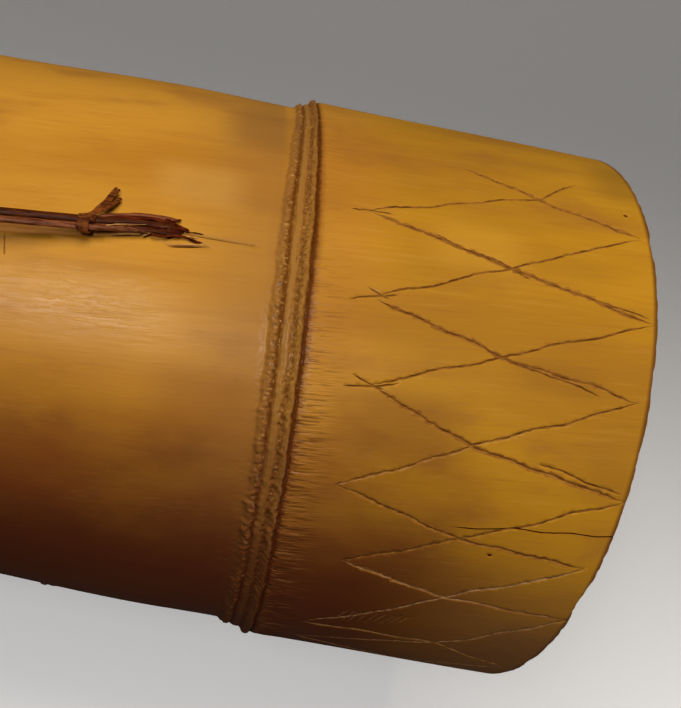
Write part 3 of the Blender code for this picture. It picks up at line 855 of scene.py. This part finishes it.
def build_culm():
    """The tube's wall, in five lengths: the internode, its two rings and the two end sections."""

    def ring_at(side, offset):
        return lambda y, z: ring_plane(side * RING_X + offset, y, z)

    internode = wall_piece(
        "internode", (ring_at(-1, RING_END), ring_at(1, RING_START)), 200, 240, skin_only
    )

    def cross_line(share, across, out):  # a shallow score across the first string's bed
        lift = 0.3 if out > 0 else -0.05
        return root_place(1, 1, 177.2 + 1.0 * share + 0.14 * across, 3.2 - 5.0 * share, lift)

    cut(internode, [slit_cutter()])
    cut(internode, [*string_beds(), new_strand(SCRAPED, 4, 10, cross_line)])
    hold(internode, "bamboo_skin", "culm_tube")
    for side, word in ((1, "right"), (-1, "left")):
        ring = wall_piece(
            f"{word}_ring", (ring_at(side, RING_START), ring_at(side, RING_END)),
            46, 1320, ring_radius(side), ring_columns,
        )
        if side > 0:
            cut(ring, [overcut(number) for number in RING_OVERCUTS])
        hold(ring, "bamboo_skin")

        def rim(y, z, side=side):  # the saw cut, with its worn edge
            nick = noise.noise(Vector((side, y / (1.6 * MM), z / (1.6 * MM))))
            chip = noise.noise(Vector((side, y / (5 * MM), z / (5 * MM))))
            return rim_plane(side, y, z) - side * (0.3 * abs(nick) + 0.6 * max(0, chip)) * MM

        if side > 0:
            planes = (ring_at(1, RING_END), rim)
        else:
            planes = (rim, ring_at(-1, RING_START))
        end = wall_piece(f"{word}_end_section", planes, 60, 480, skin_only)
        if side > 0:
            cut(end, diamond_cuts())
        hold(end, "bamboo_skin")


# ------------------------------------------------------------------ strings

BRIDGE_AT = 160  # mm from the tube's middle
STRING_RUN = (
    (0, 0.0, 45.5), (BRIDGE_AT, 0.0, 45.5), (187.2, 3.9, 43.2), (189.5, 4.3, 43.05),
    (192.4, 4.9, 42.8), (195.3, 5.5, 42.45), (198.6, 6.0, 42.05), (200.5, 6.1, 41.6),
    (202, 6.1, 41.0),
)  # mm from the middle, mm aside from the string's own line, radius in mm


def along_string(number, side, x):
    """The middle of a string's section at x, and its directions aside and out."""
    where = abs(x) / MM
    for first, second in zip(STRING_RUN, STRING_RUN[1:]):
        if where <= second[0]:
            break
    share = (where - first[0]) / (second[0] - first[0])
    share = min(max(share, 0), 1.3)
    aside = first[1] + share * (second[1] - first[1])
    radius = first[2] + share * (second[2] - first[2])
    turn = math.radians(STRING_TURNS[number - 1]) + side * aside * MM / FLAT_RADIUS
    out = Vector((0, math.sin(turn), math.cos(turn)))
    across = Vector((0, math.cos(turn), -math.sin(turn))) * side
    return Vector((x, 0, AXIS_HEIGHT)) + out * radius * MM, across, out


def string_strand(
    number, side, start, end, aside, half_width, half_thick, material, seed, wild=0.0
):
    """One strip of a string from start to end, in mm from the middle. A wild one frays at its
    root."""

    def place(share, across, out):
        where = (start + share * (end - start)) * MM * side
        centre, sideways, outwards = along_string(number, side, where)
        loose = smooth(186, 200, abs(where) / MM) * wild
        swing = noise.noise(Vector((where / (4 * MM), seed, 1)))
        rise = noise.noise(Vector((where / (3 * MM), seed, 7)))
        ridge = 1 + 0.12 * noise.noise(Vector((where / (9 * MM), across * 2.2 + seed, out * 2.2)))
        shrink = 1 - 0.35 * loose
        if share in (0.0, 1.0) and abs(where) < 1 * MM:
            shrink = 0.999
        beside = aside + loose * 0.7 * swing + across * half_width * ridge * shrink
        above = loose * 0.4 * rise + out * half_thick * ridge * shrink
        return centre + (sideways * beside + outwards * above) * MM

    cuts = max(8, int(abs(end - start) / 0.8))
    return new_strand(material, 12, min(cuts, 150), place)


# The two strips that a string split into: mm aside, half width, half thickness, material, seed, and
# mm from the middle where the strip ends in the root.
STRIPS = ((0.56, 0.6, 0.44, STRING, 0, 199), (-0.5, 0.52, 0.38, STRING_PALE, 3, 198.5))


def build_string(number):
    """A string from root to root, in four lengths that follow its bridges."""
    for side, word in ((1, "right"), (-1, "left")):
        seed = 10 * number + side
        kink = along_string(number, side, side * BRIDGE_AT * MM)[0]
        outer = [
            string_strand(number, side, BRIDGE_AT, root, *shape, seed + shift, 1.0)
            for *shape, shift, root in STRIPS
        ]
        outer = joined(f"string_{number}_{word}_end", outer)
        knot_end = along_string(number, side, side * 187 * MM)[0]
        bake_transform(outer)
        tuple(knot_end)
        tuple(kink)
        inner = [
            string_strand(number, side, 0, BRIDGE_AT, *shape, seed + shift)
            for *shape, shift, root in STRIPS
        ]
        inner = joined(f"string_{number}_{word}_middle", inner)
        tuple(along_string(number, side, 0)[0])
        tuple(kink)
        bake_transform(inner)
        if side > 0:
            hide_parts(f"string_{number}")
        build_root(number, side, word)
        build_knot(number, side, word)


def root_place(number, side, x, aside, lift):
    """x in mm from the middle, aside in mm from the string's own line, lift in mm over the skin."""
    arc = math.radians(STRING_TURNS[number - 1]) * FLAT_RADIUS + side * aside * MM
    return on_skin(side * x * MM, arc, lift * MM)


def fibre(number, side, points, width, thick, material, seed, sides=6, end=0.3):
    """A loose fibre on a smooth curve through (x, aside, lift) points. It narrows to its ends, to
    the share of its width that end gives."""
    spots = [Vector(point) for point in points]

    def place(share, across, out):
        run = share * (len(spots) - 1)
        step = min(int(run), len(spots) - 2)
        local = run - step
        a, b = spots[step], spots[step + 1]
        before = spots[max(step - 1, 0)]
        after = spots[min(step + 2, len(spots) - 1)]
        spot = a.lerp(b, local) + 0.125 * local * (1 - local) * (
            (1 - local) * ((b - before) - (b - a) * 2) - local * ((after - a) - (b - a) * 2)
        )
        way = b - a
        flat = math.hypot(way.x, way.y)
        taper = min(1, end + 5 * share, end + 6 * (1 - share))
        rough = 1 + 0.25 * noise.noise(Vector((share * 9, seed, 2)))
        half = width / 2 * taper * rough * across
        spot = spot + Vector((-way.y, way.x, 0)) / flat * half
        spot.z += thick / 2 * taper * rough * out
        return root_place(number, side, *spot)

    return new_strand(material, sides, 14, place)


BED_END = 200  # mm from the tube's middle
# Slots beside and past each root: start and end as (x, aside), width and depth, all in mm.
SLOTS = (
    (((191.8, 3.55), (195.6, 4.35)), 0.3, 0.3), (((195.8, 4.1), (197.3, 4.9)), 0.3, 0.25),
    (((199.5, 3.5), (204.7, 4.45)), 0.28, 0.3), (((200.2, 5.7), (210.6, 6.0)), 0.1, 0.3),
)
# Splinters that stand up from them: (x, aside, lift) points and width, all in mm.
SPLINTERS = (
    (((191.7, 3.75, 0.05), (193.6, 4.15, 0.35), (195.6, 4.6, 0.12)), 0.3),
    (((195.7, 4.3, 0.1), (196.5, 4.75, 0.5), (197.4, 5.2, 0.2)), 0.34),
    (((199.4, 3.75, 0.05), (202.0, 4.25, 0.25), (204.8, 4.7, 0.03)), 0.22),
    (((200.6, 5.3, 0.15), (201.8, 5.4, 0.4), (203.2, 5.6, 0.05)), 0.3),
    (((190.4, 4.1, 1.7), (192.0, 4.6, 1.8), (193.6, 5.0, 1.5)), 0.13),
    (((193.6, 4.9, 1.5), (194.8, 5.2, 1.5), (196.0, 5.6, 1.2)), 0.1),
)


def string_beds():
    """Cutters for the bed under each string, its torn roots and the hairline cracks past them."""
    beds, holes, slots = [], [], []
    for number in (1, 2, 3):
        def place(share, across, out, number=number):
            x = (share * 2 - 1) * BED_END * MM
            over = along_string(number, 1 if x >= 0 else -1, x)[0]
            turn = math.atan2(over.y, over.z - AXIS_HEIGHT)
            full = smooth(BED_END, BED_END - 4, abs(x) / MM)
            half = (0.6 + 0.3 * full) * across * MM
            edge = noise.noise(Vector((x / (5 * MM), number, across))) * 0.12 * MM
            lift = 1.0 * MM if out > 0 else -(0.1 + 0.35 * full) * MM
            return on_skin(x, turn * FLAT_RADIUS + half * 1.41 + edge, lift)

        beds.append(new_strand(BED, 8, 220, place))
        for side in (1, -1):
            seed = 10 * number + side

            def hole(share, across, out, number=number, side=side, seed=seed):
                spread = math.sin(math.pi * min(max(share, 0.02), 0.98)) ** 0.5
                ragged = 1 + 0.5 * noise.noise(Vector((share * 4, across * 1.5 + seed, out)))
                return root_place(
                    number, side, 196.8 + 4.4 * share, 6.1 + 1.35 * across * spread * ragged,
                    1.0 if out > 0 else 0.9 * out * spread * ragged,
                )

            holes.append(new_strand(TORN, 14, 14, hole))
            for slot in SLOTS:
                def crack(share, across, out, slot=slot, number=number, side=side):
                    ((x0, s0), (x1, s1)), width, deep = slot
                    taper = min(1, 6 * share + 0.15, 2.5 * (1 - share) + 0.05)
                    lift = 0.5 if out > 0.5 else (-deep * taper if out < -0.5 else 0.1)
                    aside = s0 + share * (s1 - s0) + width / 2 * taper * across
                    return root_place(number, side, x0 + share * (x1 - x0), aside, lift)

                slots.append(new_strand(TORN, 4, 8, crack))
    return [joined("beds", beds), joined("holes", holes), joined("slots", slots)]


# The middle of the flattened bundle: mm aside and mm over the skin, at mm from the tube's middle.
ROOT_LINE = ((189, 4.45), (192.5, 5.2), (196.5, 5.95), (199.2, 6.2), (203, 6.1))
ROOT_HEIGHT = ((188, 1.6), (193, 1.15), (197, 0.75), (200, 0.4), (203, 0.1))


def build_root(number, side, word):
    """The frayed fibres where a string runs back into the skin, and the splinters beside it."""
    chance = random.Random(100 * number + side)
    strands = []

    def loose(start, end, aside, spread, width, material, seed, rise=0.0):
        points = []
        for step, arch in enumerate((0.3, 1, 1, 0.6, 0)):
            x = start + (end - start) * step / 4
            swing = aside + (spread - aside) * step / 4 + chance.uniform(-0.15, 0.15)
            points.append((x, between(ROOT_LINE, x) + swing, between(ROOT_HEIGHT, x) + rise * arch))
        strands.append(fibre(number, side, points, width, width * 0.5, material, seed))

    for count in range(6):  # the flattened bundle, from the knot into the torn root
        aside = -0.85 + 0.36 * count + chance.uniform(-0.1, 0.1)
        loose(
            chance.uniform(188.7, 189.4), chance.uniform(198.8, 200.6), aside,
            aside * 1.25 + chance.uniform(-0.2, 0.2), chance.uniform(0.5, 0.7),
            chance.choice((STRING, STRING, TORN, STRING_PALE)), count, chance.uniform(-0.05, 0.3),
        )
    for count in range(20):  # the torn patch
        start = chance.uniform(196.4, 199.0)
        aside = chance.uniform(-1.4, 1.2)
        loose(
            start, start + chance.uniform(1.2, 2.6), aside, aside + chance.uniform(-0.4, 0.3),
            chance.uniform(0.2, 0.45), chance.choice((TORN, TORN, TORN, STRING)), 20 + count,
            chance.uniform(-0.1, 0.2),
        )
    for count in range(7):  # ends that run on past it
        aside = chance.uniform(-1.1, 0.7)
        loose(
            chance.uniform(199.0, 200.0), chance.uniform(201.6, 204.2), aside,
            aside + chance.uniform(-0.5, 0.3), chance.uniform(0.12, 0.3), TORN, 40 + count, 0.15,
        )
    for count in range(5):  # wisps
        aside = chance.uniform(-1.2, -0.6)
        start = chance.uniform(190.5, 195.0)
        loose(
            start, start + chance.uniform(2, 4), aside, aside - chance.uniform(0.1, 0.5),
            chance.uniform(0.1, 0.2), STRING_PALE, 60 + count, 0.3,
        )
    for line, width in SPLINTERS:
        strands.append(fibre(number, side, line, width, 0.12, SPLINTER, 40))
    hold(joined(f"root_{number}_{word}", strands), "bamboo_string")


KNOT_AT = 188  # mm from the tube's middle
KNOT_TURNS = 2.15
KNOT_REACH = (1.22, 0.68)  # half the width and height of the first turn in mm; the last is bigger
KNOT_GROWTH = 0.14
CUT_ENDS = (
    ((191.2, 10.5, 0.9), 0.85, (-0.24, 0.25)), ((191.9, 9.2, 0.6), 0.6, (0.0,))
)  # tip as (x, aside, lift) in mm, width in mm, and where the strips that it split into lie


def build_knot(number, side, word):
    """A flat strip of bast wound twice round the string. Its two cut ends stick up aside."""
    seed = 5 * number + side
    centre, sideways, outwards = along_string(number, side, side * KNOT_AT * MM)
    along = Vector((side, 0, 0))

    def wrap(share, across, out):  # the turns round the string
        turn = 2 * math.pi * (KNOT_TURNS * share + 0.1)
        wide, high = (reach + KNOT_GROWTH * share for reach in KNOT_REACH)
        ring = sideways * math.cos(turn) * wide + outwards * math.sin(turn) * high
        normal = (sideways * math.cos(turn) * high + outwards * math.sin(turn) * wide).normalized()
        offset = -0.75 + 1.5 * share + 0.1 * math.sin(2 * turn)
        return centre + (ring + along * (offset + 0.48 * across) + normal * 0.15 * out) * MM

    strands = [new_strand(TWINE, 8, 60, wrap)]

    def lump(share, across, out):  # the knot itself, beside them
        swell = math.sin(math.pi * min(max(share, 0.06), 0.94)) ** 0.6
        rough = 1 + 0.25 * noise.noise(Vector((share * 3, across + seed, out)))
        spot = along * (-0.3 + 1.5 * share) + sideways * (0.5 + 0.75 * share) + outwards * 0.8
        thick = (sideways * across * 0.6 + outwards * out * 0.36) * swell * rough
        return centre + (spot + thick) * MM

    strands.append(new_strand(TWINE, 10, 12, lump))
    for tip, width, parts in CUT_ENDS:
        start = (KNOT_AT + 0.6, 5.0, 2.4)
        middle = ((start[0] + tip[0]) / 2 + 0.2, (start[1] + tip[1]) / 2 - 0.25, 1.8)
        for part in parts:
            points = [
                (point[0] + part * spread * width, point[1] - 0.5 * part * spread * width, point[2])
                for spread, point in ((0.8, start), (0.95, middle), (1.05, tip))
            ]
            wide = width * (0.56 if len(parts) > 1 else 1)
            strands.append(fibre(number, side, points, wide, 0.28, TWINE, seed + part, 8, 0.75))
    hold(joined(f"knot_{number}_{word}", strands), "bast_twine", f"lashing_{number}_{word}")


# ------------------------------------------------------------------ bridges and webs

BRIDGE_FOOT = 40.85  # radius in mm from the tube's axis to the hollow foot
BRIDGE_TOP = 46.05  # and to the top edge
BRIDGE_HALF_LENGTH = (3.9, 1.25)  # mm along the tube, at the foot and at the top
BRIDGE_HALF_WIDTH = (5.9, 3.15)
NOTCH_HALF_WIDTH = 1.6
NOTCH_DEPTH = 1.35


def build_bridge(number, side, word):
    """A small carved bridge, with a foot that follows the tube and a notch for the string."""
    turn = math.radians(STRING_TURNS[number - 1])
    out = Vector((0, math.sin(turn), math.cos(turn)))
    across = Vector((0, math.cos(turn), -math.sin(turn)))
    select_only(None)
    bpy.ops.mesh.primitive_cube_add(size=2)
    bridge = bpy.context.active_object
    work = bmesh.new()
    work.from_mesh(bridge.data)
    bmesh.ops.subdivide_edges(work, edges=work.edges, cuts=23, use_grid_fill=True)
    for vertex in work.verts:
        x, y, z = vertex.co
        rise = (z + 1) / 2
        long_foot, long_top = BRIDGE_HALF_LENGTH
        half_long = long_foot + (long_top - long_foot) * rise ** 0.8
        wide_foot, wide_top = BRIDGE_HALF_WIDTH
        half_wide = wide_foot + (wide_top - wide_foot) * rise
        corner = 1 - 0.05 * (abs(x) * abs(y)) ** 4
        aside = half_wide * y * corner
        whittled = 0.12 * noise.noise(Vector((x * 1.3 + number, y * 2.1 + side, z * 1.7)))
        length = (half_long * corner + whittled * (1 - abs(z) ** 8)) * x
        low = math.sqrt(BRIDGE_FOOT * BRIDGE_FOOT - aside * aside)
        notch = NOTCH_DEPTH * max(0, 1 - (aside / NOTCH_HALF_WIDTH) ** 4)
        crown = 0.35 * y * y + 0.3 * x * x
        high = BRIDGE_TOP - notch - crown
        height = low + (high - low) * rise
        place = Vector((side * (BRIDGE_AT + length) * MM, 0, AXIS_HEIGHT))
        vertex.co = place + (across * aside + out * height) * MM
    bmesh.ops.recalc_face_normals(work, faces=work.faces)
    work.to_mesh(bridge.data)
    work.free()
    bridge.data.materials.append(BRIDGE)
    bridge = joined(f"carved_bridge_{number}_{word}", [bridge], 40)
    name = f"bridge_{number}_{word}"
    hold(bridge, "bridge_wood", name, body=name)


WEB_RADIUS = 34.05 * MM
WEB_RISE = 4.0  # mm that its middle bulges towards +X
WEB_HALF_THICK = 1.35  # mm at its middle


def build_web(side, word):
    """The thin domed wall across the bore at a node."""
    rim_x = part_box(f"node_web_{word}")[0].x + 1.5 * MM
    select_only(None)
    bpy.ops.mesh.primitive_uv_sphere_add(segments=96, ring_count=48, radius=1)
    web = bpy.context.active_object
    for vertex in web.data.vertices:
        reach = math.hypot(vertex.co.x, vertex.co.y)
        turn = math.atan2(vertex.co.x, vertex.co.y)
        thick = WEB_HALF_THICK * vertex.co.z
        dome = WEB_RISE * (1 - reach * reach)
        crease = 0.35 * noise.noise(Vector((vertex.co.x * 3, vertex.co.y * 3, side)))
        crease += 0.12 * noise.noise(Vector((math.sin(turn) * 14, math.cos(turn) * 14, reach * 3)))
        radius = WEB_RADIUS * reach
        vertex.co = (
            rim_x + (dome + thick + crease * (1 - reach ** 6)) * MM,
            radius * math.sin(turn), AXIS_HEIGHT + radius * math.cos(turn),
        )
    web.data.materials.append(WEB)
    work = bmesh.new()
    work.from_mesh(web.data)
    bmesh.ops.recalc_face_normals(work, faces=work.faces)
    work.to_mesh(web.data)
    work.free()
    web = joined(f"domed_web_{word}", [web], 60)
    hold(web, "bamboo_web", f"node_web_{word}")


build_culm()
for string_number in (1, 2, 3):
    build_string(string_number)
    for string_side, side_word in ((1, "right"), (-1, "left")):
        build_bridge(string_number, string_side, side_word)
for web_side, side_word in ((1, "right"), (-1, "left")):
    build_web(web_side, side_word)

# ------------------------------------------------------------------ stage, lights and camera


def add_floor():
    """Grey paper with painted shade that darkens it towards +Y; it sends no light back to the tube.
    """
    select_only(None)
    bpy.ops.mesh.primitive_plane_add(size=6)
    floor = bpy.context.active_object
    floor.name = "floor"
    material, tree, shader = new_material("floor_paper")
    place = add_node(tree, "ShaderNodeTexCoord").outputs["Object"]
    y = add_node(tree, "ShaderNodeSeparateXYZ", {0: place}).outputs["Y"]
    # Painted shade: the paper darkens towards +Y.
    shade = laid_over(tree, "989898", "464646", (y, -0.11, 0.08))
    feed(tree, shader, {"Base Color": shade, "Roughness": 0.9})
    floor.data.materials.append(material)
    floor.visible_diffuse = False
    floor.visible_glossy = False


def add_area_light(name, place, target, size, power, colour="ffffff"):
    """A panel of size (wide, high) in metres and power in watts, turned to face its target."""
    light = bpy.data.lights.new(name, "AREA")
    light.shape = "RECTANGLE"
    light.size, light.size_y = size
    light.energy = power
    light.color = linear(colour)[:3]
    lamp = bpy.data.objects.new(name, light)
    bpy.context.scene.collection.objects.link(lamp)
    lamp.location = place
    aim = Vector(target) - Vector(place)
    lamp.rotation_euler = aim.to_track_quat("-Z", "Y").to_euler()
    return lamp


KEY_TURN = math.radians(29)  # both are turns from straight above, towards +Y
GLINT_TURN = math.radians(-6)
WASH_X = RING_X - 0.15


def add_lights():
    """A broad key that makes no highlight, a narrow panel that makes the long one, a faint fill on
    the sawn end, and a wash that only the floor takes."""
    middle = Vector((RING_X, 0, AXIS_HEIGHT))
    key_way = Vector((-0.05, math.sin(KEY_TURN), math.cos(KEY_TURN)))
    key = add_area_light("key_softbox", middle + 0.9 * key_way, middle, (0.6, 0.45), 6.6, "fff6ea")
    key.visible_glossy = False
    glint_way = Vector((-0.22, math.sin(GLINT_TURN), math.cos(GLINT_TURN)))
    add_area_light("glint_panel", middle + 0.7 * glint_way, middle, (0.14, 0.05), 1.5, "fff3e8")
    add_area_light("end_fill", (0.75, -0.35, 0.2), (0.25, 0, 0.04), (0.3, 0.3), 0.6, "ffe0c0")
    wash = add_area_light("floor_wash", (WASH_X, -0.6, 1.8), (WASH_X, -0.05, 0), (2, 1), 74)
    lit = bpy.data.collections.new("lit_by_floor_wash")
    lit.objects.link(bpy.data.objects["floor"])
    wash.light_linking.receiver_collection = lit
    wash.light_linking.blocker_collection = lit
    world = bpy.data.worlds.new("studio_air")
    bpy.context.scene.world = world
    world.use_nodes = True
    air = world.node_tree.nodes["Background"].inputs
    air["Color"].default_value = linear("ffe9dd")
    air["Strength"].default_value = 0.03


CAMERA_ELEVATION = math.radians(76.5)
CAMERA_DISTANCE = 231 * MM  # from the tube's axis
CAMERA_X = RING_X - 16.3 * MM
CAMERA_YAW = math.radians(-6.48)
CAMERA_PITCH = math.radians(0.94)
CAMERA_ROLL = math.radians(10.71)
LENS = 73.52  # on a sensor 36 mm wide


def add_camera():
    """The camera looks down at the open end. Its own axes come from the tube's: along it, up across
    its skin, and out towards the camera."""
    up = Vector((0, math.sin(CAMERA_ELEVATION), math.cos(CAMERA_ELEVATION)))
    out = Vector((0, -math.cos(CAMERA_ELEVATION), math.sin(CAMERA_ELEVATION)))
    tube = Matrix((Vector((1, 0, 0)), up, out)).transposed()
    turned = (
        Matrix.Rotation(CAMERA_YAW, 3, "Y")
        @ Matrix.Rotation(CAMERA_PITCH, 3, "X")
        @ Matrix.Rotation(CAMERA_ROLL, 3, "Z")
    )
    camera = bpy.data.cameras.new("camera")
    camera.sensor_fit = "HORIZONTAL"
    camera.sensor_width = 36
    camera.lens = LENS
    camera.clip_start = 0.01
    seat = bpy.data.objects.new("camera", camera)
    bpy.context.scene.collection.objects.link(seat)
    place = Vector((CAMERA_X, 0, AXIS_HEIGHT)) + CAMERA_DISTANCE * out
    seat.matrix_world = Matrix.Translation(place) @ (tube @ turned).to_4x4()
    bpy.context.scene.camera = seat


add_floor()
add_lights()
add_camera()
bpy.context.scene.view_settings.view_transform = "Standard"
